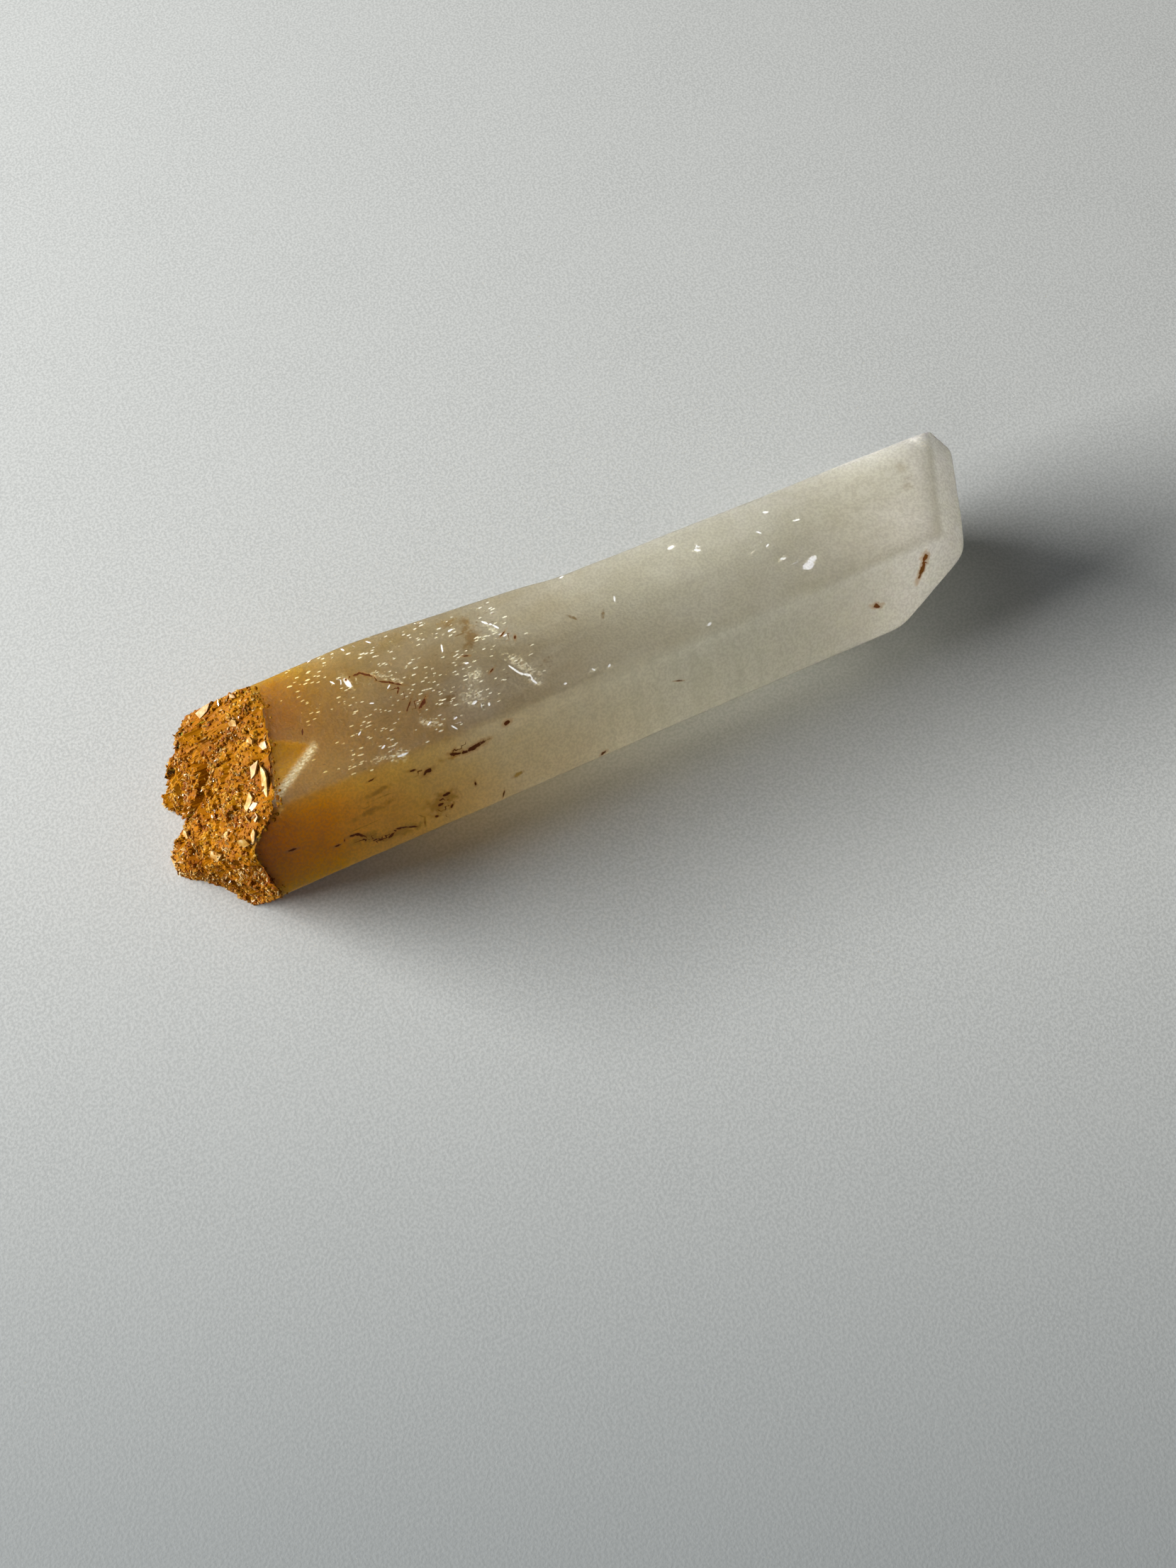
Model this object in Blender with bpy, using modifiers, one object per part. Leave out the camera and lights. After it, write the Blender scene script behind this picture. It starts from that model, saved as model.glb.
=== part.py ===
# A natural quartz point lying on one of its prism faces: a six-sided prism with an
# undercut, chisel-like tip, a parallel growth ledge on its far side, and a crumbly
# broken base stained orange by halloysite.
import math

import bmesh
import bpy
from mathutils import Matrix, Vector, noise

# Driving dimensions, in metres. X runs from the broken base to the tip, Z is up,
# and the drawing's X = 0 is a section near the middle of the crystal.
MM = 0.001
HEIGHT = 10.5 * MM  # from the resting face to the top face at X = 0
NEAR_RIDGE_Y = -3.85 * MM  # edge between the top face and the near upper face
FAR_EDGE_Y = 5.5 * MM  # edge between the top face and the far upper face
NEAR_FOOT_Y = -4.55 * MM  # edge between the resting face and the near lower face
FAR_FOOT_Y = 5.6 * MM  # edge between the resting face and the far lower face
BLANK_X = (-40.0 * MM, 45.0 * MM)  # the uncut bar that the faces are cut from
BLANK_HALF = 20.0 * MM
EDGE_WEAR = 0.22 * MM  # width of the rubbed edges
MIDDLE = (2.54 * MM, 0.93 * MM)  # the drawing point that lies above the origin

PRISM = 60.0  # degrees between neighbouring prism faces
SHOULDER_STEP = 0.15 * MM  # how far the growth ledge's other faces lie inside

GRID_STEP = 0.27 * MM  # spacing of the break surface's points
BREAK_Y = (-9.5 * MM, 12.0 * MM)
BREAK_Z = (-1.5 * MM, 12.5 * MM)
BREAK_FOOT_X = -31.0 * MM  # where the break meets the resting face
BREAK_SLOPE = 4.2 * MM  # even backward slope from the foot to the rim
BREAK_ROLL = 3.6 * MM  # extra rounding just under the rim
LUMP = 0.55 * MM  # height of the break's lumps
GRAIN = 0.30 * MM  # height of the small grains on them


def wipe():
    for old in list(bpy.data.objects):
        bpy.data.objects.remove(old, do_unlink=True)


def collection(name):
    made = bpy.data.collections.new(name)
    bpy.context.scene.collection.children.link(made)
    return made


def add_object(mesh_bm, name, home, parent):
    """Turns a bmesh into an object of a collection, under the crystal's empty."""
    bmesh.ops.recalc_face_normals(mesh_bm, faces=mesh_bm.faces)
    mesh = bpy.data.meshes.new(name)
    mesh_bm.to_mesh(mesh)
    mesh_bm.free()
    made = bpy.data.objects.new(name, mesh)
    home.objects.link(made)
    made.parent = parent
    return made


def prism_face(angle, taper, point):
    """A face along the crystal: its normal is turned by angle from +Z towards +Y,
    and tilted by taper towards the tip."""
    turn = math.radians(angle)
    lean = math.radians(taper)
    normal = Vector(
        (math.sin(lean), math.cos(lean) * math.sin(turn), math.cos(lean) * math.cos(turn))
    )
    return Vector(point), normal


def main_faces():
    """The six prism faces, then the five faces that end the tip."""
    return [
        prism_face(0 * PRISM, 0.3, (0, 0, HEIGHT)),
        prism_face(-1 * PRISM, 0.7, (0, NEAR_RIDGE_Y, HEIGHT)),
        prism_face(-2 * PRISM, 0.6, (0, NEAR_FOOT_Y, 0)),
        prism_face(3 * PRISM, 0.0, (0, 0, 0)),
        prism_face(2 * PRISM, 0.4, (0, FAR_FOOT_Y, 0)),
        prism_face(1 * PRISM, 0.0, (0, FAR_EDGE_Y, HEIGHT)),
        # worn strip between the top face and the undercut tip
        (Vector((32.0 * MM, -0.5 * MM, 10.33 * MM)), Vector((0.606, -0.214, 0.766))),
        # large undercut face, which makes the tip a chisel
        (Vector((35.9 * MM, 1.8 * MM, 7.85 * MM)), Vector((0.70, -0.29, -0.65))),
        # undercut face on the near side
        (Vector((29.2 * MM, -6.0 * MM, 6.0 * MM)), Vector((0.488, -0.756, -0.436))),
        # undercut face on the far side
        (Vector((34.0 * MM, 8.1 * MM, 5.5 * MM)), Vector((0.62, 0.68, -0.39))),
        # rubbed far corner
        (Vector((36.9 * MM, 4.9 * MM, 8.0 * MM)), Vector((0.80, 0.55, 0.24))),
    ]


def shoulder_faces():
    """The growth ledge on the far side of the base: the same prism, set in by a step
    on every face but the far ones, which stand out and run down towards the middle."""
    top = HEIGHT - SHOULDER_STEP
    ledge_y = 6.95 * MM
    return [
        prism_face(0 * PRISM, 0.3, (0, 0, top)),
        prism_face(-1 * PRISM, 0.7, (0, NEAR_RIDGE_Y + SHOULDER_STEP, top)),
        prism_face(-2 * PRISM, 0.6, (0, NEAR_FOOT_Y + SHOULDER_STEP, SHOULDER_STEP)),
        prism_face(3 * PRISM, 0.0, (0, 0, SHOULDER_STEP)),
        prism_face(2 * PRISM, 1.5, (0, FAR_FOOT_Y, SHOULDER_STEP)),
        prism_face(1 * PRISM, -2.0, (-13.3 * MM, ledge_y, top)),
        prism_face(1 * PRISM, 7.8, (-13.0 * MM, ledge_y, top)),
        (Vector((-4.0 * MM, 0, 0)), Vector((1.0, 0.25, 0.1))),
    ]


def cut_crystal(faces):
    """A bar cut by one plane for each crystal face."""
    made = bmesh.new()
    bmesh.ops.create_cube(made, size=1.0)
    long = BLANK_X[1] - BLANK_X[0]
    bmesh.ops.scale(made, vec=(long, 2 * BLANK_HALF, 2 * BLANK_HALF), verts=made.verts)
    bmesh.ops.translate(made, vec=((BLANK_X[0] + BLANK_X[1]) / 2, 0, 0), verts=made.verts)
    for point, normal in faces:
        everything = made.verts[:] + made.edges[:] + made.faces[:]
        cut = bmesh.ops.bisect_plane(
            made, geom=everything, plane_co=point, plane_no=normal, clear_outer=True
        )
        rim = [piece for piece in cut["geom_cut"] if isinstance(piece, bmesh.types.BMEdge)]
        bmesh.ops.edgeloop_fill(made, edges=rim)
    return made


def bump(distance_y, distance_z, width_y, width_z):
    """A smooth hill that is 1 at its middle and fades over its widths."""
    return math.exp(-((distance_y / width_y) ** 2) - (distance_z / width_z) ** 2)


def break_x(y, z):
    """X of the broken base at a height z and a place y across the crystal: a face that
    slopes back from the foot and rolls over at the rim, drawn back along the near foot
    and the far side, with two lobes and the notch between them, and lumps on it all."""
    up = min(max(z / HEIGHT, 0.0), 1.15)
    x = BREAK_FOOT_X + BREAK_SLOPE * up + BREAK_ROLL * up**5
    near_foot = -y - 0.577 * z
    x += 0.85 * max(near_foot - 0.3 * MM, 0.0)
    x += 0.5 * max(y - 6.5 * MM, 0.0)
    x -= 1.3 * MM * bump(y - 0.4 * MM, z - 1.6 * MM, 2.0 * MM, 3.0 * MM)
    x -= 1.0 * MM * bump(y - 6.4 * MM, z - 7.8 * MM, 2.4 * MM, 2.2 * MM)
    x += 1.5 * MM * bump(y - 4.0 * MM, z - 0.6 * MM, 1.3 * MM, 2.4 * MM)
    cells = noise.voronoi(Vector((3.1, y / (1.9 * MM), z / (1.9 * MM))))
    x += LUMP * (2.2 * (cells[0][0] - 0.3))
    grains = noise.voronoi(Vector((7.7, y / (0.75 * MM), z / (0.75 * MM))))
    x += GRAIN * noise.cell(Vector(grains[1][0]) * 5.3)
    return x


def cut_break():
    """The block that takes the base away: a grid bent to the break surface and drawn
    out past the end of the bar."""
    across = round((BREAK_Y[1] - BREAK_Y[0]) / GRID_STEP)
    high = round((BREAK_Z[1] - BREAK_Z[0]) / GRID_STEP)
    made = bmesh.new()
    bmesh.ops.create_grid(made, x_segments=across, y_segments=high, size=0.5)
    for vert in made.verts:
        y = BREAK_Y[0] + (vert.co.x + 0.5) * (BREAK_Y[1] - BREAK_Y[0])
        z = BREAK_Z[0] + (vert.co.y + 0.5) * (BREAK_Z[1] - BREAK_Z[0])
        vert.co = Vector((break_x(y, z), y, z))
    drawn = bmesh.ops.extrude_face_region(made, geom=made.faces[:])
    for piece in drawn["geom"]:
        if isinstance(piece, bmesh.types.BMVert):
            piece.co.x = BLANK_X[0] - 5.0 * MM
    return made


def cut_chip():
    """The smooth shell-shaped chip in the top face, where the rim meets the ridge."""
    made = bmesh.new()
    bmesh.ops.create_uvsphere(made, u_segments=40, v_segments=24, radius=1.0)
    bmesh.ops.scale(made, vec=(4.9 * MM, 3.3 * MM, 2.6 * MM), verts=made.verts)
    turn = Matrix.Rotation(math.radians(28), 3, "Z")
    bmesh.ops.rotate(made, cent=(0, 0, 0), matrix=turn, verts=made.verts)
    middle = (-23.6 * MM, -0.9 * MM, HEIGHT + 1.75 * MM)
    bmesh.ops.translate(made, vec=middle, verts=made.verts)
    return made


def cut_pits():
    """Shallow angular pits in the top face and the near upper face, one squat
    twenty-sided lump for each: x, y, z, half length, and turn in degrees."""
    pits = [
        (33.0, 4.1, 10.46, 0.55, 20),
        (8.5, -0.6, 10.62, 0.55, 70),
        (24.0, -2.9, 10.56, 0.70, -15),
        (-9.6, 2.4, 10.70, 0.65, 35),
        (-5.2, -5.1, 8.52, 0.55, 5),
        (15.0, -7.25, 4.80, 0.60, 50),
    ]
    made = bmesh.new()
    for x, y, z, half, turn in pits:
        lump = bmesh.ops.create_icosphere(made, subdivisions=1, radius=half * MM)["verts"]
        bmesh.ops.scale(made, vec=(1.3, 0.8, 0.7), verts=lump)
        spin = Matrix.Rotation(math.radians(turn), 3, "Z")
        bmesh.ops.rotate(made, cent=(0, 0, 0), matrix=spin, verts=lump)
        bmesh.ops.translate(made, vec=(x * MM, y * MM, z * MM), verts=lump)
    return made


def wear(target):
    """Rubs the edges of a cut crystal."""
    rubbed = target.modifiers.new("worn edges", "BEVEL")
    rubbed.width = EDGE_WEAR
    rubbed.segments = 2
    rubbed.limit_method = "ANGLE"
    rubbed.angle_limit = math.radians(12)


def combine(target, other, how):
    """Adds or cuts away another object with an exact Boolean."""
    step = target.modifiers.new(other.name, "BOOLEAN")
    step.operation = how
    step.solver = "EXACT"
    step.object = other


def milky_quartz():
    """Milky quartz, warm white, with a frosted skin."""
    made = bpy.data.materials.new("milky_quartz")
    made.use_nodes = True
    skin = made.node_tree.nodes["Principled BSDF"]
    skin.inputs["Base Color"].default_value = (0.50, 0.44, 0.32, 1.0)
    skin.inputs["Roughness"].default_value = 0.35
    skin.inputs["Metallic"].default_value = 0.0
    skin.inputs["IOR"].default_value = 1.54
    skin.inputs["Transmission Weight"].default_value = 0.3
    return made


def hide_cutter(cutter):
    cutter.hide_render = True
    cutter.display_type = "WIRE"


wipe()
parts = collection("quartz_point_with_halloysite")
cutters = collection("cutters")

origin = bpy.data.objects.new("crystal_origin", None)
parts.objects.link(origin)
origin.location = (-MIDDLE[0], -MIDDLE[1], 0.0)

crystal = add_object(cut_crystal(main_faces()), "quartz_point", parts, origin)
crystal.data.materials.append(milky_quartz())
wear(crystal)

shoulder = add_object(cut_crystal(shoulder_faces()), "growth_ledge", cutters, origin)
wear(shoulder)
combine(crystal, shoulder, "UNION")

base_break = add_object(cut_break(), "broken_base", cutters, origin)
combine(crystal, base_break, "DIFFERENCE")

chip = add_object(cut_chip(), "shell_chip", cutters, origin)
combine(crystal, chip, "DIFFERENCE")

pits = add_object(cut_pits(), "pits", cutters, origin)
combine(crystal, pits, "DIFFERENCE")

for cutter in (shoulder, base_break, chip, pits):
    hide_cutter(cutter)
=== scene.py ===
import math

import bpy
import numpy as np
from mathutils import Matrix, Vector


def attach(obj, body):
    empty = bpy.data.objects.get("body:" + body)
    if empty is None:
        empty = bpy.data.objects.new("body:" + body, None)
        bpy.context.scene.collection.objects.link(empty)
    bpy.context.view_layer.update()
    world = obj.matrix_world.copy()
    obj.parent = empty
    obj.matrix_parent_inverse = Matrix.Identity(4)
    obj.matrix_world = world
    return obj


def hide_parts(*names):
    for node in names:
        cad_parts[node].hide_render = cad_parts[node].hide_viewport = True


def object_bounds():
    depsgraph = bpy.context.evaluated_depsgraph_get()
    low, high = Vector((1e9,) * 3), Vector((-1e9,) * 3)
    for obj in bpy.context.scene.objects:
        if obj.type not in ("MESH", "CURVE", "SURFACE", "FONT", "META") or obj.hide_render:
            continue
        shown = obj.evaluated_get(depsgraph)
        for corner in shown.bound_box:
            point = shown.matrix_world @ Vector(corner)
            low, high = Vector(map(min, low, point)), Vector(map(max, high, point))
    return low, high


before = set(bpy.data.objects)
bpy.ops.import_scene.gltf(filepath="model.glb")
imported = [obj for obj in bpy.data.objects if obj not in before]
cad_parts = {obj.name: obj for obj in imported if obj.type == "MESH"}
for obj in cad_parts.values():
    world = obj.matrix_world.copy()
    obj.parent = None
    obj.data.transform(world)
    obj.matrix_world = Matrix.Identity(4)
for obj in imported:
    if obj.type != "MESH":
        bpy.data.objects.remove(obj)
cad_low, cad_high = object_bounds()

# The table, the lights and the camera: a pale matt board with a fine paper-like grain, one
# large soft window low on the left with weak light from the room and from a wall, and a camera
# 60 degrees above the table, 26 degrees off the crystal's side.
MM = 0.001
HEADING = math.radians(26)  # turn of the picture's right edge from the crystal's axis
PITCH = math.radians(60)  # how steeply the camera looks down
LENS_VIEW = math.radians(40)  # angle over the picture's long side
SENSOR = 36.0
CAMERA_PLACE = (-39.57, -81.99, 143.89)

picture_right = np.array((math.cos(HEADING), -math.sin(HEADING), 0.0))
picture_away = np.array((math.sin(HEADING), math.cos(HEADING), 0.0))

camera_data = bpy.data.cameras.new("camera")
camera_data.sensor_width = SENSOR
camera_data.lens = SENSOR / 2 / math.tan(LENS_VIEW / 2)
camera_data.clip_start = 0.005
camera = bpy.data.objects.new("camera", camera_data)
camera.location = Vector(CAMERA_PLACE) * MM
camera.rotation_euler = (math.pi / 2 - PITCH, 0.0, -HEADING)
bpy.context.scene.collection.objects.link(camera)
bpy.context.scene.camera = camera
bpy.context.scene.view_settings.view_transform = "Standard"


def window(name, turn, height, distance, size, power, colour):
    """A rectangular light that faces the crystal: turn is its direction on the table, in
    degrees from the picture's left edge towards its top, height its degrees above the table,
    and distance and size are in millimetres."""
    turn, height = math.radians(turn), math.radians(height)
    level = -picture_right * math.cos(turn) + picture_away * math.sin(turn)
    place = Vector(level * math.cos(height)) + Vector((0, 0, math.sin(height)))
    data = bpy.data.lights.new(name, "AREA")
    data.shape = "RECTANGLE"
    data.size, data.size_y = size[0] * MM, size[1] * MM
    data.energy = power
    data.color = colour
    light = bpy.data.objects.new(name, data)
    light.location = place * distance * MM
    light.rotation_euler = place.to_track_quat("Z", "Y").to_euler()
    bpy.context.scene.collection.objects.link(light)


window("window", 0, 20.5, 1000, (973, 80), 32.5, (1.0, 0.985, 0.95))
window("room", -65, 30, 400, (300, 200), 0.28, (1.0, 0.99, 0.97))
window("wall", 28, 40, 230, (180, 150), 0.15, (0.93, 0.97, 1.0))

world = bpy.data.worlds.new("room")
world.use_nodes = True
world.node_tree.nodes["Background"].inputs["Color"].default_value = (0.80, 0.90, 1.0, 1.0)
world.node_tree.nodes["Background"].inputs["Strength"].default_value = 0.010
bpy.context.scene.world = world


class Finish:
    """A material being wired: its Principled shader, and short calls that each add one node."""

    def __init__(self, name):
        self.made = bpy.data.materials.new(name)
        self.made.use_nodes = True
        self.tree = self.made.node_tree
        self.shader = self.tree.nodes["Principled BSDF"]

    def add(self, kind, settings=None, **inputs):
        """A node of a kind with its settings and its inputs, by name or, after a _, by number."""
        node = self.tree.nodes.new("ShaderNode" + kind)
        for key, value in (settings or {}).items():
            setattr(node, key, value)
        self.wire(node, **inputs)
        return node

    def wire(self, node, **inputs):
        """Links or sets inputs of a node, whose names have _ in place of a space."""
        for key, value in inputs.items():
            socket = node.inputs[int(key[1:])] if key[1:].isdigit() else node.inputs[key.replace("_", " ")]
            if isinstance(value, bpy.types.NodeSocket):
                self.tree.links.new(value, socket)
            else:
                socket.default_value = value

    def maths(self, operation, first, second=0.0, third=0.0):
        """A number worked out from up to three others."""
        node = self.add("Math", {"operation": operation}, _0=first, _1=second, _2=third)
        return node.outputs[0]

    def product(self, first, second):
        """One number times another."""
        return self.maths("MULTIPLY", first, second)

    def scaled(self, first, second, third):
        """One number times another, plus a third."""
        return self.maths("MULTIPLY_ADD", first, second, third)

    def stored(self, name):
        """The number stored under a name for each point of the piece."""
        return self.add("Attribute", {"attribute_name": name}).outputs["Fac"]

    def between(self, value, low, high):
        """0 below low, 1 above high and a smooth step between them."""
        node = self.add("MapRange", {"interpolation_type": "SMOOTHSTEP"}, Value=value)
        self.wire(node, From_Min=low, From_Max=high)
        return node.outputs[0]

    def mix(self, share, first, second):
        """Two colours mixed, all of the second where the share is 1."""
        node = self.add("Mix", {"data_type": "RGBA"}, _0=share, _6=first, _7=second)
        return node.outputs[2]

    def ramp(self, share, *stops):
        """A colour from a ramp with stops of place and colour."""
        node = self.add("ValToRGB", Fac=share)
        elements = node.color_ramp.elements
        while len(elements) < len(stops):
            elements.new(1.0)
        for element, (place, colour) in zip(elements, stops):
            element.position = place
            element.color = (*colour, 1.0)
        return node.outputs[0]

    def noise(self, place, size, detail=2.0, stretch=(1, 1, 1)):
        """Cloudy noise from 0 to 1 with features of about this size in the unit of place."""
        scaled = self.add("VectorMath", {"operation": "MULTIPLY"}, _0=place)
        self.wire(scaled, _1=tuple(1 / (size * s) for s in stretch))
        return self.add("TexNoise", Vector=scaled.outputs[0], Scale=1.0, Detail=detail).outputs["Fac"]

    def drawing_place(self, shift=(0, 0, 0)):
        """Object coordinates in millimetres of the drawing, from which the frame is shifted."""
        place = self.add("TexCoord").outputs["Object"]
        node = self.add("VectorMath", {"operation": "MULTIPLY_ADD"}, _0=place, _1=(1000, 1000, 1000))
        self.wire(node, _2=tuple(-s for s in shift))
        return node.outputs[0]


def put_mesh(name, points, faces, material, smooth=True):
    """A mesh object at the origin from an array of points in millimetres and an array of
    faces with the same number of corners each."""
    mesh = bpy.data.meshes.new(name)
    faces = np.asarray(faces, dtype=np.int32)
    corners = faces.shape[1]
    mesh.vertices.add(len(points))
    mesh.vertices.foreach_set("co", (np.asarray(points) * MM).astype(np.float32).ravel())
    mesh.loops.add(faces.size)
    mesh.loops.foreach_set("vertex_index", faces.ravel())
    mesh.polygons.add(len(faces))
    mesh.polygons.foreach_set("loop_start", np.arange(0, faces.size, corners, dtype=np.int32))
    mesh.polygons.foreach_set("use_smooth", np.full(len(faces), smooth))
    mesh.update(calc_edges=True)
    mesh.materials.append(material)
    made = bpy.data.objects.new(name, mesh)
    bpy.context.scene.collection.objects.link(made)
    return made


def table_board():
    """Matt off-white board: a faint mottle, a fine grain of shade and of bumps, and painted shade that
    darkens it towards the viewer.
    """
    finish = Finish("table_board")
    place = finish.drawing_place()
    mottle = finish.noise(place, 9.0, 3.0)
    grain = finish.noise(place, 0.22, 1.0)
    shade = finish.ramp(mottle, (0.3, (0.385, 0.397, 0.394)), (0.7, (0.402, 0.414, 0.411)))
    shade = finish.mix(finish.between(grain, 0.35, 0.65), shade, (0.475, 0.488, 0.484, 1))
    # painted shade: the board's colour darkens towards the viewer, standing in for less of the window's
    # light reaching it
    reach = finish.add("VectorMath", {"operation": "DOT_PRODUCT"}, _0=place, _1=tuple(picture_away))
    shade = finish.mix(finish.between(reach.outputs["Value"], 0.0, -95.0), shade, (0.205, 0.225, 0.235, 1))
    bump = finish.add("Bump", Height=grain, Strength=0.12, Distance=0.0001)
    finish.wire(finish.shader, Base_Color=shade, Roughness=0.75, Normal=bump.outputs["Normal"])
    return finish.made


TABLE_SIZE = 1500.0
half = TABLE_SIZE / 2
table = put_mesh(
    "table",
    [(-half, -half, -0.02), (half, -half, -0.02), (half, half, -0.02), (-half, half, -0.02)],
    [(0, 1, 2, 3)],
    table_board(),
)

# The crystal: one piece of milky quartz, grown in the ground and never cut.
# Its six flat faces are etched dull, its edges are rubbed round, the tip is an undercut
# chisel, and the base is a crumbly break where orange halloysite fills the quartz.
SHIFT = np.array((-2.54, -0.93, 0.0))  # from the drawing's zero to the middle of the underside
HEIGHT = 10.5
NEAR_RIDGE_Y = -3.85  # where the top meets the near and the far slope
FAR_EDGE_Y = 5.5
NEAR_FOOT_Y = -4.55  # where the underside meets the near and the far foot
FAR_FOOT_Y = 5.6
LEDGE_STEP = 0.04  # how far the growth ledge stands back where it doesn't stand out
LEDGE_Y = 6.95
AXIS = np.array((0.7, 5.2))  # y and z of the line that the section's rays start from
ACROSS = 252  # points round the section
BASE_ROWS = 90  # rings over the break, along the prism and over the tip
SIDE_ROWS = 226
TIP_ROWS = 62
RUBBED_ROWS = 8  # rings of the prism that the rubbing of the tip takes in
RUBBING_TIMES = 12
LUMP_SIZE = 2.1  # width of the break's lumps, grains and crumbs
GRAIN_WIDTH = 0.85
CRUMB_SIZE = 0.38


def lattice(cell, seed):
    """A number from 0 to 1 for each whole-numbered cell, from mixing its coordinates' bits."""
    mixed = np.zeros(cell.shape[:-1], dtype=np.uint32) + np.uint32(seed * 7919 + 17)
    for k, prime in enumerate((73856093, 19349663, 83492791)[: cell.shape[-1]]):
        mixed = (mixed ^ (cell[..., k].astype(np.int64) * prime).astype(np.uint32)) * np.uint32(2654435761)
        mixed ^= mixed >> np.uint32(15)
    mixed = (mixed ^ (mixed >> np.uint32(13))) * np.uint32(1274126177)
    return ((mixed ^ (mixed >> np.uint32(16))) & np.uint32(0xFFFFFF)) / float(0xFFFFFF)


def smooth(value, low, high):
    """0 below low, 1 above high, and 3t^2 - 2t^3 between, with t running from 0 to 1."""
    t = np.clip((value - low) / (high - low), 0, 1)
    return t * t * (3 - 2 * t)


def drift(points, size, seed, octaves=1):
    """Smooth noise from -1 to 1: lattice numbers at cells of this size, blended with the weight
    3t^2 - 2t^3 along each axis, plus octaves of half the size and half the height."""
    total = np.zeros(points.shape[:-1])
    reach = 0.0
    for octave in range(octaves):
        scaled = points / (size * 0.5**octave)
        cell = np.floor(scaled)
        part = smooth(scaled - cell, 0, 1)
        value = np.zeros(points.shape[:-1])
        for corner in np.ndindex(*([2] * points.shape[-1])):
            weight = np.prod(np.where(np.array(corner), part, 1 - part), axis=-1)
            value += weight * lattice(cell + np.array(corner), seed + 31 * octave)
        total += (2 * value - 1) * 0.5**octave
        reach += 0.5**octave
    return total / reach


def chunks(points, size, seed):
    """Broken grains on a plane: for each point the nearest of the cells' jittered middles, which
    gives the grain's own random number and its tilted facet's height."""
    scaled = points / size
    home = np.floor(scaled)
    best = np.full(points.shape[:-1], 9.0)
    number = np.zeros(points.shape[:-1])
    facet = np.zeros(points.shape[:-1])
    for step in np.ndindex(3, 3):
        cell = home + np.array(step) - 1
        middle = cell + np.stack([lattice(cell, seed), lattice(cell, seed + 1)], -1)
        away = scaled - middle
        distance = np.hypot(away[..., 0], away[..., 1])
        nearer = distance < best
        tilt = np.stack([lattice(cell, seed + 2), lattice(cell, seed + 3)], -1) * 2 - 1
        number = np.where(nearer, lattice(cell, seed + 4), number)
        facet = np.where(nearer, (tilt * away).sum(-1), facet)
        best = np.where(nearer, distance, best)
    return number, facet


def prism_face(turn, taper, point):
    """Normal and distance of a face along the crystal: the normal is turned by turn degrees from
    up towards the far side and leans by taper degrees towards the tip, and the distance is its
    dot product with a point of the face."""
    turn, taper = math.radians(turn), math.radians(taper)
    level = math.cos(taper)
    normal = np.array((math.sin(taper), level * math.sin(turn), level * math.cos(turn)))
    return normal, float(normal @ np.array(point, dtype=float))


def tip_face(point, normal):
    """Normal, scaled to length 1, and distance of a face of the tip: the distance is the normal's
    dot product with a point of the face."""
    normal = np.array(normal) / np.linalg.norm(normal)
    return normal, float(normal @ np.array(point))


# the prism's six faces, from the top round by the near side
PRISM = [
    prism_face(0, 0.3, (0, 0, HEIGHT)),
    prism_face(-60, 0.7, (0, NEAR_RIDGE_Y, HEIGHT)),
    prism_face(-120, 0.6, (0, NEAR_FOOT_Y, 0)),
    prism_face(180, 0.0, (0, 0, 0)),
    prism_face(120, 0.4, (0, FAR_FOOT_Y, 0)),
    prism_face(60, 0.0, (0, FAR_EDGE_Y, HEIGHT)),
]
# the growth ledge: a second prism a little inside the first, which stands out on the far side
LEDGE = [
    prism_face(0, 0.3, (0, 0, HEIGHT - LEDGE_STEP)),
    prism_face(-60, 0.7, (0, NEAR_RIDGE_Y + LEDGE_STEP, HEIGHT - LEDGE_STEP)),
    prism_face(-120, 0.6, (0, NEAR_FOOT_Y + LEDGE_STEP, LEDGE_STEP)),
    prism_face(180, 0.0, (0, 0, LEDGE_STEP)),
    prism_face(120, 1.5, (0, FAR_FOOT_Y, LEDGE_STEP)),
    prism_face(60, -2.0, (-13.3, LEDGE_Y, HEIGHT - LEDGE_STEP)),
    prism_face(60, 4.2, (-13.0, LEDGE_Y, HEIGHT - LEDGE_STEP)),
    tip_face((7.0, 0, 0), (1.0, 0.25, 0.1)),
]
# the worn strip at the tip and the four undercut faces round it
TIP = [
    tip_face((32.0, -0.5, 10.33), (0.606, -0.290, 0.766)),
    tip_face((35.9, 1.8, 7.85), (0.70, -0.29, -0.65)),
    tip_face((29.2, -6.0, 6.0), (0.488, -0.756, -0.436)),
    tip_face((34.0, 8.1, 5.5), (0.62, 0.68, -0.39)),
    tip_face((36.9, 4.9, 8.0), (0.80, 0.55, 0.24)),
]


def section_radius(x, ray_y, ray_z, faces, sharp):
    """Distance from the axis to the prism's skin along a ray at x: the soft minimum, a power mean
    with the exponent -sharp, of the distances to the faces that the ray runs towards."""
    total = np.zeros(np.broadcast(x, ray_y).shape)
    for normal, distance in faces:
        along = normal[1] * ray_y + normal[2] * ray_z
        room = np.maximum(distance - normal[0] * x - normal[1] * AXIS[0] - normal[2] * AXIS[1], 0.05)
        reach = room / np.maximum(along, 0.02)
        total += np.maximum(reach, 0.01) ** -sharp
    return total ** (-1.0 / sharp)


def skin_radius(x, ray_y, ray_z):
    """The prism's radius joined with the growth ledge's, whichever reaches further, with the ledge
    fading out beyond the middle. The ridges are crisp at the base and rubbed round at the tip."""
    crisp = 46 - 22 * smooth(x, -14, 12)
    main = section_radius(x, ray_y, ray_z, PRISM, crisp)
    ledge = section_radius(x, ray_y, ray_z, LEDGE, 60)
    return main + np.maximum(ledge - main, 0) * (1 - smooth(x, -1.0, 5.0))


def hill(dy, dz, wide, high):
    """A smooth hill, 1 at its middle: exp of minus the sum of each distance over its width, squared."""
    return np.exp(-((dy / wide) ** 2) - (dz / high) ** 2)


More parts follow.
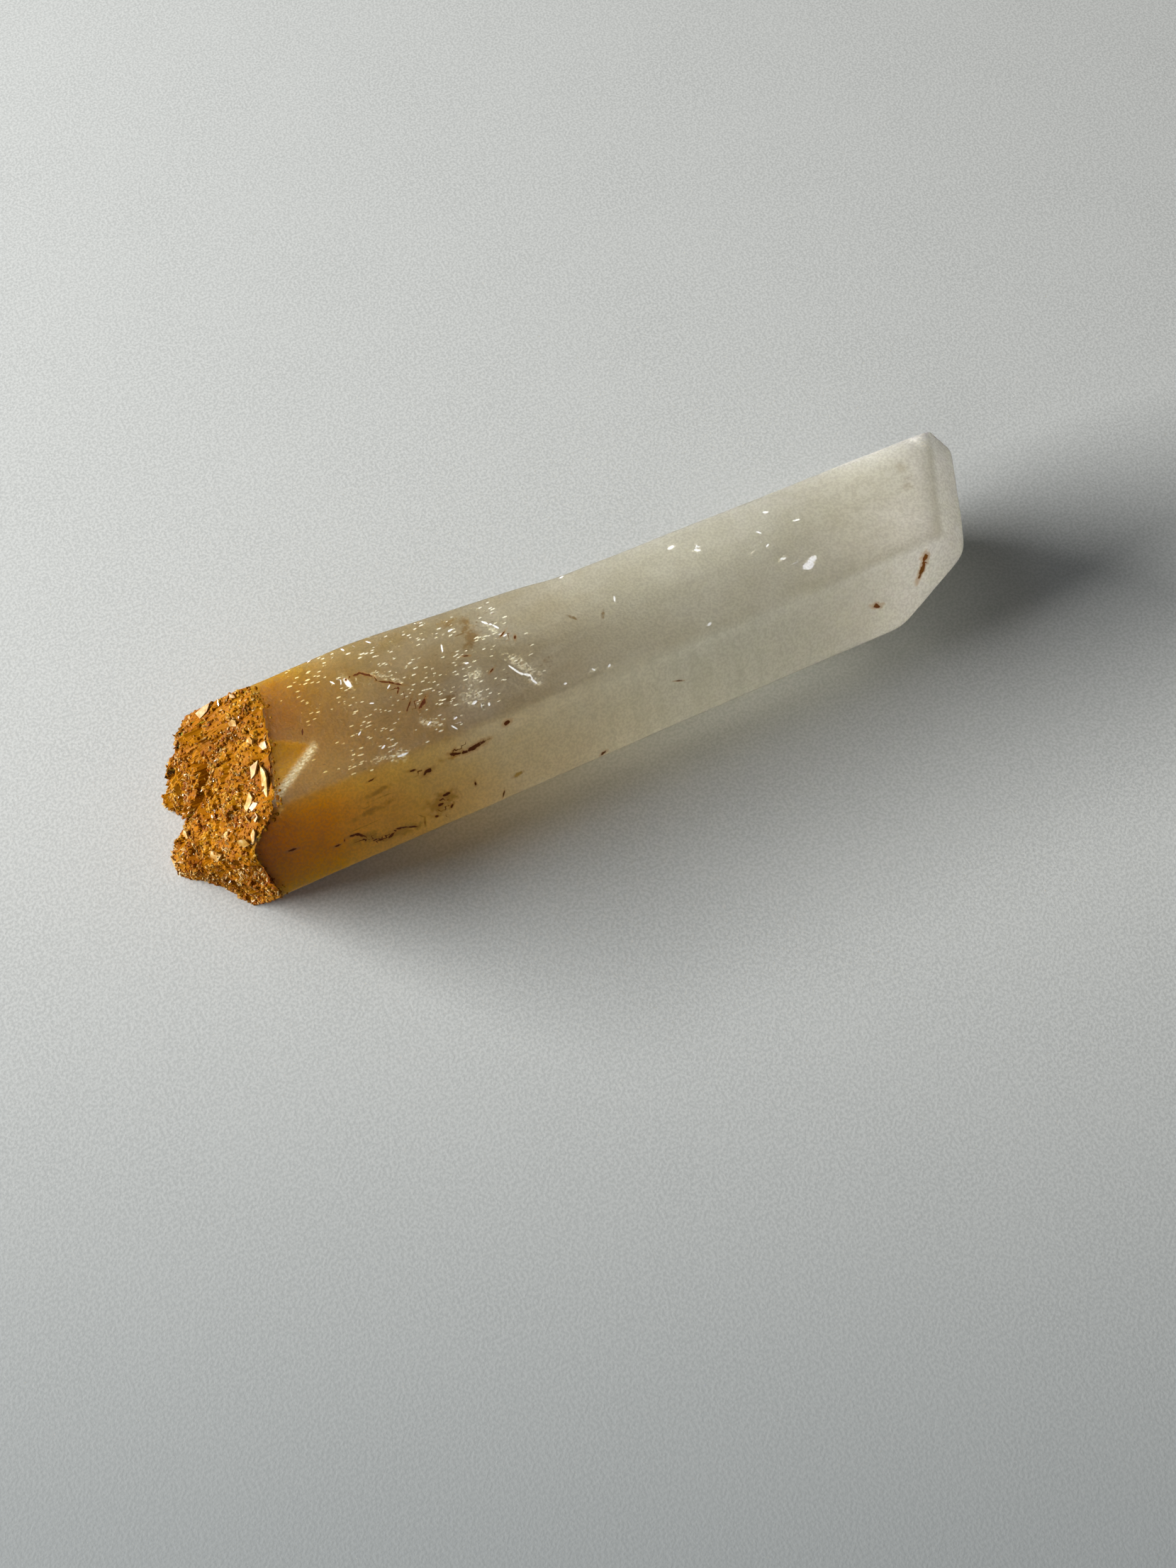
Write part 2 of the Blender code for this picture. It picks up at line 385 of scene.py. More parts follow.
def break_x(y, z):
    """X of the broken base over the section: it slopes back from foot to rim and rolls over there,
    is drawn back along the near foot and the far side, and carries two lobes with a notch."""
    up = np.clip(z / HEIGHT, 0, 1.15)
    x = -30.4 + 4.2 * up + 3.4 * up**5
    x += 0.28 * np.clip(y - 1.5, -5.5, 2.5) * up**3
    x += 0.62 * np.maximum(-y - 0.577 * z - 0.3, 0)
    x += 0.5 * np.maximum(y - 6.5, 0)
    x -= 1.8 * hill(y - 0.4, z - 1.6, 2.0, 2.6)
    x -= 1.0 * hill(y - 6.4, z - 7.8, 2.4, 2.2)
    x += 1.5 * hill(y - 4.0, z - 0.6, 1.3, 2.4)
    return x


def tip_x(y, z):
    """X of the tip over the section: the soft minimum of the tip faces' planes, rounded by about
    a fifth of a millimetre where they meet."""
    soft = 5.0
    total = 0
    for normal, distance in TIP:
        total = total + np.exp(-soft * ((distance - normal[1] * y - normal[2] * z) / normal[0] - 30.0))
    return 30.0 - np.log(total) / soft


def section_rays():
    """Unit rays round the section, clockwise seen from the tip, evenly spaced along the six
    straight sides and closer together near their ends, where the edges are round."""
    corners = []
    for k in range(6):
        (n1, d1), (n2, d2) = PRISM[k], PRISM[(k + 1) % 6]
        corners.append(np.linalg.solve(np.array((n1[1:], n2[1:])), np.array((d1, d2))))
    corners = np.array(corners)
    ends = np.roll(corners, -1, axis=0)
    lengths = np.linalg.norm(ends - corners, axis=1)
    counts = np.maximum((lengths / lengths.sum() * ACROSS).astype(int), 4)
    counts[np.argmax(counts)] += ACROSS - counts.sum()
    places = []
    for start, end, count in zip(corners, ends, counts):
        t = np.arange(count) / count
        t = t - 0.55 * np.sin(2 * np.pi * t) / (2 * np.pi)
        places.append(start + (end - start) * t[:, None])
    out = np.concatenate(places) - AXIS
    out /= np.linalg.norm(out, axis=1)[:, None]
    return out[:, 0], out[:, 1]


def crystal_grid():
    """The skin as rows of rings: from the middle of the break out to its rim, along the prism, and
    over the tip's rim to the middle of the tip. Returns the three grids of points."""
    ray_y, ray_z = section_rays()
    rim_x = np.full(ACROSS, -25.0)
    tip_rim_x = np.full(ACROSS, 33.0)
    for _ in range(30):
        radius = skin_radius(rim_x, ray_y, ray_z)
        rim_x += 0.5 * (break_x(AXIS[0] + radius * ray_y, AXIS[1] + radius * ray_z) - rim_x)
        radius_tip = skin_radius(tip_rim_x, ray_y, ray_z)
        tip_rim_x += 0.5 * (tip_x(AXIS[0] + radius_tip * ray_y, AXIS[1] + radius_tip * ray_z) - tip_rim_x)
    share = (np.arange(1, BASE_ROWS + 1) / BASE_ROWS)[:, None] ** 0.9
    base_y = AXIS[0] + share * radius * ray_y
    base_z = AXIS[1] + share * radius * ray_z
    base = np.stack([break_x(base_y, base_z), base_y, base_z], -1)
    share = (np.arange(1, SIDE_ROWS) / SIDE_ROWS)[:, None]
    side_x = rim_x + (tip_rim_x - rim_x) * share
    side_radius = skin_radius(side_x, ray_y + 0 * side_x, ray_z + 0 * side_x)
    side = np.stack([side_x, AXIS[0] + side_radius * ray_y, AXIS[1] + side_radius * ray_z], -1)
    share = (np.arange(TIP_ROWS, 0, -1) / TIP_ROWS)[:, None] ** 0.9
    tip_y = AXIS[0] + share * radius_tip * ray_y
    tip_z = AXIS[1] + share * radius_tip * ray_z
    tip = np.stack([tip_x(tip_y, tip_z), tip_y, tip_z], -1)
    return base, side, tip


def grid_normals(points):
    """Unit normals of a grid of rings, from the cross product of its two directions."""
    along = np.gradient(points, axis=0)
    round_it = np.roll(points, -1, axis=1) - np.roll(points, 1, axis=1)
    normal = np.cross(round_it, along)
    return normal / np.maximum(np.linalg.norm(normal, axis=-1, keepdims=True), 1e-9)


def rub_tip(points, first_row, times):
    """Rounds the tip: from the sixth row after first_row on the points are averaged with their
    four neighbours, again and again, and the rows between are averaged less and less."""
    weight = (np.clip((np.arange(len(points)) - first_row) / 6.0, 0, 1) * 0.5)[:, None, None]
    for _ in range(times):
        mean = (np.roll(points, 1, 1) + np.roll(points, -1, 1)) / 2
        mean[1:-1] = mean[1:-1] / 2 + (points[2:] + points[:-2]) / 4
        mean[-1] = points[-1]
        points = points + weight * (mean - points)
    return points


base, side, tip = crystal_grid()
points = np.concatenate([base, side, tip])
points = rub_tip(points, BASE_ROWS + SIDE_ROWS - RUBBED_ROWS, RUBBING_TIMES)
on_side = np.repeat((0.0, 1.0), (BASE_ROWS, SIDE_ROWS - 1 + TIP_ROWS))[:, None]
normals = grid_normals(points)

# growth relief on the flat faces: broad swells, faint lines across the crystal and etching
swell = 0.06 * drift(points, 9.0, 3) + 0.03 * drift(points * (1.0, 0.6, 0.6), 3.0, 4, 2)
lines = 0.012 * drift(points * (1.0, 0.12, 0.12), 0.55, 5, 2)
etch = 0.012 * drift(points, 0.8, 6, 2)
points += normals * ((swell + lines + etch - 0.06) * on_side)[..., None]

# lumps and grains of the break, tilted facets of three sizes that flatten out at the rim
across_break = points[:BASE_ROWS, :, 1:]
lump, lump_facet = chunks(across_break, LUMP_SIZE, 11)
uneven = across_break + 0.2 * drift(across_break, 0.7, 12)[..., None]
grain, grain_facet = chunks(uneven, GRAIN_WIDTH, 13)
crumb, crumb_facet = chunks(across_break, CRUMB_SIZE, 17)
relief = 0.75 * (lump - 0.5) + 0.5 * lump_facet
relief += 0.38 * (grain - 0.5) + 0.42 * grain_facet
relief += 0.10 * (crumb - 0.5) + 0.16 * crumb_facet
fade = np.clip((1 - (np.arange(BASE_ROWS) + 1) / BASE_ROWS) * 12 + 0.3, 0, 1)[:, None]
points[:BASE_ROWS, :, 0] += relief * fade

# the chip at the rim beside the near ridge: a slope that falls from a crisp bruised line and
# a soft upper line, which meet in a point, and is deepest at the rim
CHIP_POINT = np.array((-19.7, -0.1))
CHIP_NEAR_END = np.array((-23.8, -2.9))
CHIP_FAR_END = np.array((-22.8, 1.9))
CHIP_SLOPE = 0.26
CHIP_DEPTH = 0.8
CHIP_END_X = -19.0
BRUISE_WIDTH = 0.26  # of the whitish crushed line just outside the crisp edge


def beside(places, start, end):
    """Signed distance from the line through start and end, positive on its left."""
    along = (end - start) / np.linalg.norm(end - start)
    return (places[..., 1] - start[1]) * along[0] - (places[..., 0] - start[0]) * along[1]


from_bruise = beside(points, CHIP_NEAR_END, CHIP_POINT)
from_soft = beside(points, CHIP_POINT, CHIP_FAR_END)
chip_fall = np.minimum(CHIP_SLOPE * from_bruise, 0.8 * CHIP_SLOPE * from_soft)
chip_fall = np.clip(chip_fall + 0.03 * drift(points, 0.9, 21), 0, CHIP_DEPTH)
chip_fall *= smooth(points[..., 2], 6.5, 10.2) * (points[..., 0] < CHIP_END_X)
chip_fall *= smooth(points[..., 0], -27.5, -25.0)
points[..., 2] -= chip_fall
scar = smooth(np.minimum(from_bruise, from_soft), 0.0, 0.14) * smooth(points[..., 2], 6.5, 9.0)
scar *= (points[..., 0] < CHIP_END_X) * smooth(points[..., 0], -28.0, -26.5)
bruise = np.exp(-((from_bruise + BRUISE_WIDTH) / BRUISE_WIDTH) ** 2) * smooth(points[..., 2], 9.5, 10.2)
bruise *= smooth(points[..., 0], -24.4, -23.6) * (1 - smooth(points[..., 0], -19.9, -19.2))

points += SHIFT
# lumps that would reach past the CAD are pressed back smoothly, which leaves room for grains
GRAIN_ROOM = 0.10
SOFT_REACH = 0.4


def inside_box(places):
    """Places in millimetres, each coordinate held between the CAD's lowest and highest."""
    return np.clip(places, np.array(cad_low) / MM, np.array(cad_high) / MM)


room = points[:BASE_ROWS, :, 0] - cad_low[0] / MM - GRAIN_ROOM
pressed = SOFT_REACH * np.exp(np.minimum(room - SOFT_REACH, 0) / SOFT_REACH)
points[:BASE_ROWS, :, 0] += np.where(room < SOFT_REACH, pressed - room, 0)
points = inside_box(points)

# the rings are joined by triangles, and a fan closes each end
rings, around = points.shape[:2]
index = np.arange(rings * around).reshape(rings, around)
first_pole, last_pole = rings * around, rings * around + 1
quads = np.stack([index[:-1], np.roll(index[:-1], -1, 1), np.roll(index[1:], -1, 1), index[1:]], -1)
quads = quads.reshape(-1, 4)
start = np.stack([np.full(around, first_pole), np.roll(index[0], -1), index[0]], -1)
end = np.stack([np.full(around, last_pole), index[-1], np.roll(index[-1], -1)], -1)
triangles = np.concatenate([start, quads[:, (0, 1, 2)], quads[:, (0, 2, 3)], end])
poles = np.array((points[0].mean(0), points[-1].mean(0)))
everything = np.concatenate([points.reshape(-1, 3), poles])

MARK_DEPTH = 0.6  # how far a mark of one face reaches to both sides of it


def mark_field(places, marks):
    """For each place its offset from the nearest mark, along and across it, in units of the mark's
    half length and half width, and a third number that grows once it is well outside the mark."""
    nearest = np.full(len(places), 1e9)
    field = np.zeros((len(places), 3))
    for face, x, across, turn, length, width in marks:
        turn = math.radians(turn)
        if face == "top":
            middle, up = np.array((x, across, HEIGHT - 0.005 * x)), np.array((0, 1, 0))
        else:
            middle = np.array((x, NEAR_RIDGE_Y - 0.5 * across, HEIGHT - 0.866 * across))
            up = np.array((0, 0.5, 0.866))
        ahead = np.array((1, 0, 0))
        first = ahead * math.cos(turn) + up * math.sin(turn)
        second = up * math.cos(turn) - ahead * math.sin(turn)
        away = places - middle
        outside = np.maximum(np.abs(away @ first) - length, np.abs(away @ second) - width)
        outside = np.maximum(outside, np.abs(away @ np.cross(first, second)) - MARK_DEPTH)
        beyond = 8 * np.maximum(outside - 0.5, 0)
        local = np.stack([away @ first / length, away @ second / width, beyond], -1)
        nearer = outside < nearest
        field[nearer] = local[nearer]
        nearest = np.minimum(outside, nearest)
    return field


# The marks, one by one: its face, its x, its y or on the near face its distance down from
# the ridge, its turn in degrees, and its half length and half width.
# Iron flecks are dark red-brown slivers of iron oxide just under the skin.
IRON_FLECKS = [
    ("near", -8.9, 1.6, 7, 0.85, 0.17), ("near", -10.6, 1.35, 60, 0.30, 0.08),
    ("near", -10.5, 1.5, -20, 0.42, 0.10), ("near", -12.9, 2.0, 14, 0.42, 0.15),
    ("near", -13.9, 1.4, -10, 0.32, 0.08), ("near", -17.0, 0.8, 10, 0.26, 0.06),
    ("near", -6.2, 0.8, 15, 0.26, 0.16), ("near", -9.7, 4.5, 80, 0.18, 0.08),
    ("near", -12.0, 4.4, -8, 0.38, 0.12), ("near", -12.7, 5.0, 0, 0.24, 0.12),
    ("near", -11.9, 5.5, 60, 0.18, 0.12), ("near", -13.2, 5.8, -25, 0.20, 0.09),
    ("near", -19.5, 4.5, -6, 0.35, 0.09), ("near", -19.0, 4.7, -50, 0.30, 0.09),
    ("near", -18.7, 5.2, 60, 0.20, 0.07), ("near", -18.1, 5.6, 0, 0.16, 0.08),
    ("near", -17.6, 5.7, 60, 0.16, 0.06), ("near", -16.9, 5.8, 20, 0.34, 0.12),
    ("near", -16.1, 5.5, -10, 0.30, 0.08), ("near", -15.2, 5.8, -20, 0.42, 0.07),
    ("near", -20.8, 4.8, 0, 0.20, 0.08), ("near", -24.0, 3.6, -5, 0.28, 0.09),
    ("near", 0.4, 6.5, 20, 0.25, 0.12), ("near", -7.9, 6.3, 65, 0.30, 0.06),
    ("near", 7.5, 3.2, -20, 0.30, 0.04), ("near", 24.6, 3.9, -20, 0.35, 0.16),
    ("near", 29.3, 1.6, 75, 0.30, 0.24), ("near", 28.9, 2.5, 55, 0.80, 0.15),
    ("top", -15.4, 3.9, 0, 0.08, 0.08), ("top", -14.6, 4.0, -10, 0.22, 0.08),
    ("top", -13.9, 3.7, -45, 0.52, 0.10), ("top", -12.9, 2.5, -30, 0.40, 0.07),
    ("top", -12.1, 1.9, -35, 0.45, 0.08), ("top", -12.3, 1.4, 50, 0.28, 0.05),
    ("top", -12.1, -0.1, 50, 0.50, 0.06), ("top", -11.1, -0.4, 45, 0.55, 0.13),
    ("top", -20.0, 1.1, 70, 0.25, 0.06), ("top", -3.3, 2.6, 30, 0.30, 0.06),
    ("top", -2.6, 1.9, 70, 0.20, 0.08), ("top", -5.4, 0.0, 30, 0.25, 0.07),
    ("top", -6.6, 2.0, -20, 0.22, 0.07),
]
# Ochre stains are cloudy patches of clay, the largest of them bent like a hook.
OCHRE_STAINS = [
    ("near", -10.8, 1.5, 0, 0.9, 0.35), ("near", -12.6, 4.9, 10, 1.4, 0.9),
    ("near", -18.6, 5.2, -10, 1.4, 0.5), ("near", -16.0, 5.8, -5, 1.5, 0.45),
    ("near", -6.4, 5.2, 10, 0.5, 0.18), ("near", -17.6, 3.2, 5, 1.6, 0.25),
    ("near", -16.8, 1.9, 5, 1.2, 0.2), ("top", -6.3, 5.2, -15, 0.95, 0.40),
    ("top", -5.6, 4.6, -60, 0.9, 0.55), ("top", -5.5, 3.5, 75, 0.85, 0.55),
    ("top", -6.1, 2.7, 30, 0.5, 0.35), ("top", -1.2, -1.0, 0, 0.4, 0.25),
    ("top", -9.4, -1.0, 20, 0.8, 0.4), ("top", 2.0, 1.7, -50, 0.50, 0.13),
    ("top", 4.2, 0.9, 60, 0.40, 0.12), ("top", 31.4, 3.3, 40, 0.55, 0.45),
    ("top", 30.8, 1.4, 0, 0.45, 0.35), ("near", 28.9, 2.3, 60, 1.1, 0.25),
]
# Glints are painted highlights: white marks where small cracks and nicks throw the window's light back.
GLINTS = [
    ("top", -3.5, 3.4, -60, 0.22, 0.06), ("top", -4.1, 4.1, -50, 0.20, 0.06),
    ("top", -3.2, 2.4, 10, 0.12, 0.05), ("top", -6.7, 4.6, 10, 0.14, 0.06),
    ("top", -7.9, 3.4, 75, 0.26, 0.05), ("top", -6.8, 1.4, -10, 0.12, 0.06),
    ("top", -7.7, -2.0, 20, 0.16, 0.08), ("top", -6.8, -2.6, 70, 0.12, 0.06),
    ("top", -3.8, -0.8, -65, 0.55, 0.06), ("top", -3.2, -1.5, -40, 0.22, 0.08),
    ("top", -3.0, -2.2, -70, 0.25, 0.06), ("top", -11.4, -2.2, 30, 0.16, 0.05),
    ("top", -9.9, -3.3, -60, 0.20, 0.05), ("top", 2.9, 5.4, 10, 0.14, 0.05),
    ("top", 5.6, 1.8, 70, 0.20, 0.05), ("top", 1.4, -3.2, -60, 0.12, 0.05),
    ("top", 2.6, -3.4, 40, 0.12, 0.06), ("top", -1.0, -3.4, 0, 0.10, 0.06),
    ("top", 11.6, 4.2, 10, 0.22, 0.09), ("top", 13.3, 3.1, -30, 0.20, 0.07),
    ("top", 13.4, 3.4, 60, 0.12, 0.05), ("top", 19.7, 4.0, -20, 0.18, 0.07),
    ("top", 18.3, 2.5, -50, 0.18, 0.05), ("top", 18.3, 1.1, 30, 0.14, 0.05),
    ("top", 21.5, 2.3, -10, 0.22, 0.06), ("top", 18.8, -0.5, -10, 0.18, 0.07),
    ("top", 20.2, -1.9, 10, 0.34, 0.24), ("top", 20.8, -1.5, 20, 0.30, 0.16),
    ("top", 11.0, -3.3, 20, 0.16, 0.07), ("top", -15.4, 3.6, -80, 0.36, 0.13),
    ("top", -17.2, 6.7, 20, 0.12, 0.04), ("top", -16.4, 4.1, -60, 0.16, 0.04),
    ("top", -14.6, 6.5, -60, 0.12, 0.05), ("top", -12.8, 2.0, 40, 0.14, 0.04),
    ("top", -14.2, -3.8, 0, 0.30, 0.06), ("top", -15.2, -2.6, 30, 0.14, 0.05),
    ("top", -14.5, 1.2, -20, 0.12, 0.04), ("top", -16.3, -0.8, 40, 0.14, 0.04),
    ("top", -9.5, -2.6, 20, 0.12, 0.05), ("top", -12.6, 6.3, -45, 0.16, 0.04),
]
# Milky veils are clouds of tiny bubbles and crushed quartz.
MILKY_VEILS = [
    ("top", -3.2, -0.4, -60, 1.7, 0.45), ("top", -2.9, -2.2, -60, 0.9, 0.3),
    ("top", -7.6, -1.5, 0, 0.9, 0.7), ("top", -6.7, 0.2, 20, 0.7, 0.5),
    ("top", -11.3, -2.2, -40, 0.8, 0.35), ("top", -14.4, -3.7, 0, 0.8, 0.4),
    ("top", -16.0, -3.4, 0, 0.5, 0.3), ("top", -15.4, 3.6, -80, 0.95, 0.28),
    ("top", -12.9, 3.0, -40, 1.6, 0.25), ("top", -3.7, 3.1, -60, 1.3, 0.16),
    ("top", 11.8, 4.2, 0, 0.4, 0.25), ("top", 13.2, 3.1, -20, 0.5, 0.2),
    ("top", 20.4, -1.7, 15, 0.8, 0.42), ("top", 18.8, -0.5, 20, 0.5, 0.2),
    ("top", 1.3, -3.3, 10, 0.5, 0.12), ("top", 2.8, -3.5, 10, 0.4, 0.1),
    ("top", 16.9, 1.0, 30, 0.4, 0.12), ("top", 33.9, 4.9, -60, 1.0, 0.45),
    ("near", -23.8, 0.15, 75, 0.55, 0.22),
]


# places along the stained stretch from 0 to 1 and the quartz's tint there: a real amber stain,
# painted darker as shade on the top and far faces, which the window lights, and painted lighter
# as glow on the near face, which glows with the light inside
TINT_START_X = -28.0
TINT_LENGTH = 63.0
TOP_TINTS_AND_SHADE = (
    (0.0, (0.40, 0.088, 0.0)), (0.09, (0.37, 0.118, 0.0)), (0.15, (0.39, 0.185, 0.012)),
    (0.23, (0.42, 0.265, 0.075)), (0.36, (0.42, 0.335, 0.195)), (0.60, (0.71, 0.67, 0.54)),
    (1.0, (0.60, 0.58, 0.50)),
)
NEAR_TINTS_AND_GLOW = (
    (0.0, (0.80, 0.20, 0.0)), (0.11, (0.84, 0.35, 0.0)), (0.22, (0.88, 0.57, 0.11)),
    (0.36, (0.94, 0.81, 0.56)), (0.56, (1.0, 0.98, 0.86)), (1.0, (1.0, 1.0, 0.95)),
)
GROUND_TINTS = ((0.30, (0.14, 0.03, 0.001)), (0.55, (0.26, 0.09, 0.002)), (0.80, (0.38, 0.18, 0.02)))
# turn in degrees, size and kind of the flaws, 0 for bright ones and 1 for umber ones
FLAWS = ((35, 0.28, 0), (-50, 0.34, 0), (80, 0.24, 0), (-25, 0.26, 1))


def milky_quartz():
    """Etched milky quartz: light goes in and out through its rough skin and is tinted on the way.
    Halloysite stains it amber towards the base, veils of tiny bubbles whiten it in places, and
    short flaws and dark iron flecks lie just under the skin. The tints and stains are painted darker
    on the top face and lighter on the faces below it, as painted shade and painted glow, the glints
    are painted highlights and the bright flaws are partly painted highlights. Each mark's share is 1
    inside its half sizes, falls smoothly to 0 beyond them, and mixes its colour over what is below."""
    finish = Finish("milky_quartz")
    place = finish.drawing_place(SHIFT)
    x, y, z = finish.add("SeparateXYZ", Vector=place).outputs
    torn = finish.add("TexNoise", Vector=place, Scale=2.5, Detail=3.0).outputs["Color"]

    def from_mark(kind, tear):
        """Distance from the nearest mark of a kind in its own half sizes, torn by noise."""
        offset = finish.add("VectorMath", {"operation": "MULTIPLY_ADD"}, _0=torn, _1=(tear, tear, 0))
        finish.wire(offset, _2=(-tear / 2, -tear / 2, 0))
        field = finish.add("Attribute", {"attribute_name": kind}).outputs["Vector"]
        moved = finish.add("VectorMath", {"operation": "ADD"}, _0=field, _1=offset.outputs[0])
        return finish.add("VectorMath", {"operation": "LENGTH"}, _0=moved.outputs[0]).outputs["Value"]

    # amber towards the base in a cloudy blend, lighter beside the near ridge
    cloud = finish.noise(place, 4.0, 4.0)
    along = finish.scaled(cloud, 5.0, -2.5)
    along = finish.maths("ADD", x, along)
    along = finish.maths("DIVIDE", finish.maths("ADD", along, -TINT_START_X), TINT_LENGTH)
    top = finish.ramp(along, *TOP_TINTS_AND_SHADE)
    near = finish.ramp(along, *NEAR_TINTS_AND_GLOW)
    lift = finish.product(finish.between(y, 3.5, -2.5), finish.between(x, -8.0, -13.0))
    top = finish.mix(finish.product(lift, 0.5), top, (0.68, 0.42, 0.12, 1))
    below = finish.maths("MAXIMUM", finish.between(y, -3.4, -4.6), finish.between(z, 10.1, 9.5))
    # painted light and shade: the top face takes the darker tints and the faces below it the lighter ones
    colour = finish.mix(below, top, near)
    milk = finish.between(finish.noise(place, 2.6, 5.0, (2.0, 1, 1)), 0.40, 0.68)
    milk = finish.product(milk, finish.between(x, -20.0, -4.0))
    colour = finish.mix(finish.product(milk, 0.25), colour, (0.92, 0.90, 0.82, 1))

    # the ground of the break, soaked with halloysite, and the amber floor of the chip
    broken = finish.stored("broken")
    soaked = finish.ramp(finish.noise(place, 0.8, 4.0), *GROUND_TINTS)
    colour = finish.mix(broken, colour, soaked)
    scar = finish.stored("scar")
    colour = finish.mix(scar, colour, (0.36, 0.155, 0.0, 1))

    # ochre stains, milky veils and the crushed line beside the chip
    whole = finish.maths("SUBTRACT", 1.0, broken)
    patchy = finish.between(finish.noise(place, 0.7, 4.0), 0.26, 0.54)
    stain = finish.between(from_mark("stain", 1.6), 1.4, 0.5)
    stain = finish.product(finish.product(stain, patchy), 0.95)
    faint = finish.scaled(finish.between(x, 24.0, 28.0), -0.7, 1.0)
    stain = finish.product(stain, faint)
    # the stain's real ochre, painted darker as shade on the top face and lighter as glow on the faces
    # below it
    ochre = finish.mix(below, (0.22, 0.12, 0.03, 1), (0.46, 0.25, 0.03, 1))
    colour = finish.mix(stain, colour, ochre)
    crushed = finish.between(finish.noise(place, 0.24, 3.0, (1.0, 0.5, 1.0)), 0.44, 0.56)
    bruise = finish.stored("bruise")
    veil = finish.between(from_mark("veil", 1.6), 1.4, 0.5)
    veil = finish.product(veil, crushed)
    bruise = finish.product(bruise, finish.scaled(crushed, 0.6, 0.4))

    # flaws: short strokes, bright in three directions and umber in a fourth, which are thick on
    # the top face in the cloudy stretch near the base; the bright strokes are white flaws partly
    # painted as highlights of the window's light
    stretch = finish.between(x, 1.0, -6.0)
    rich = finish.product(stretch, finish.between(finish.noise(place, 2.2, 2.0), 0.38, 0.60))
    rich = finish.product(finish.product(rich, finish.between(x, -22.0, -17.0)), 0.26)
    rich = finish.product(rich, finish.between(y, -4.4, -3.2))
    strokes = [0.0, 0.0]
    for turn, size, kind in FLAWS:
        turned = finish.add("Mapping", Vector=place, Rotation=(0, 0, math.radians(turn)))
        finish.wire(turned, Scale=(0.45 / size, 1.5 / size, 1.0 / size))
        cell = finish.add("TexVoronoi", Vector=turned.outputs[0], Scale=1.0)
        chosen = finish.add("SeparateXYZ", Vector=cell.outputs["Color"]).outputs[0]
        lit = finish.maths("LESS_THAN", chosen, rich)
        spot = finish.between(cell.outputs["Distance"], 0.34, 0.20)
        strokes[kind] = finish.maths("MAXIMUM", strokes[kind], finish.product(lit, spot))
    flaw, umber = strokes
    pale = finish.maths("MAXIMUM", finish.product(veil, 0.5), finish.product(flaw, 0.80))
    pale = finish.maths("MAXIMUM", pale, bruise)
    pale = finish.product(pale, whole)
    cream = finish.mix(finish.between(x, -12.0, -22.0), (0.95, 0.88, 0.68, 1), (0.90, 0.62, 0.20, 1))
    colour = finish.mix(pale, colour, cream)
    umber = finish.product(umber, whole)
    colour = finish.mix(finish.product(umber, 0.6), colour, (0.26, 0.14, 0.04, 1))
    colour = finish.mix(finish.product(bruise, 0.75), colour, (0.84, 0.74, 0.52, 1))
    # painted highlights: the glints' white, where small cracks throw back the window's light
    glint = finish.between(from_mark("glint", 0.4), 1.6, 1.15)
    colour = finish.mix(glint, colour, (1.0, 0.99, 0.95, 1))
    speckle = finish.between(finish.noise(place, 0.20, 3.0), 0.60, 0.40)
    mottle = finish.between(finish.noise(place, 1.1, 3.0), 0.62, 0.38)
    speckle = finish.scaled(mottle, 0.15, finish.product(speckle, 0.45))
    colour = finish.mix(speckle, colour, finish.mix(0.5, colour, (0.10, 0.07, 0.03, 1)))

    # faint growth bands across the near face
    band = finish.between(finish.noise(place, 1.3, 1.0, (0.7, 4, 4)), 0.46, 0.58)
    band = finish.product(band, finish.product(below, finish.between(x, -2.0, 4.0)))
    band = finish.product(band, finish.between(x, 18.0, 12.0))
    colour = finish.mix(finish.product(band, 0.22), colour, (0.52, 0.52, 0.40, 1))

    # iron flecks with an ochre rim
    from_fleck = from_mark("fleck", 2.2)
    rim = finish.between(from_fleck, 2.4, 1.2)
    colour = finish.mix(finish.product(rim, 0.65), colour, (0.42, 0.20, 0.03, 1))
    core = finish.between(from_fleck, 1.15, 0.80)
    iron = finish.mix(finish.between(x, 14.0, 22.0), (0.085, 0.018, 0.003, 1), (0.24, 0.065, 0.008, 1))
    colour = finish.mix(core, colour, iron)

    # how much light goes through: less at both ends, in marks and where the quartz is broken
    end = finish.between(x, 20.0, 31.0)
    clear = finish.product(finish.between(x, -8.0, 4.0), below)
    clear = finish.scaled(clear, 0.13, 0.80)
    clear = finish.scaled(finish.between(x, -12.0, -21.0), -0.30, clear)
    clear = finish.scaled(end, -0.30, clear)
    blocked = finish.maths("MAXIMUM", finish.maths("MAXIMUM", pale, glint), scar)
    clear = finish.scaled(blocked, -0.75, clear)
    under = finish.stored("under")
    clear = finish.scaled(under, -0.4, clear)
    clear = finish.scaled(core, -0.8, clear)
    clear = finish.scaled(stain, -0.25, clear)
    clear = finish.maths("MAXIMUM", finish.scaled(broken, -0.35, clear), 0.0)

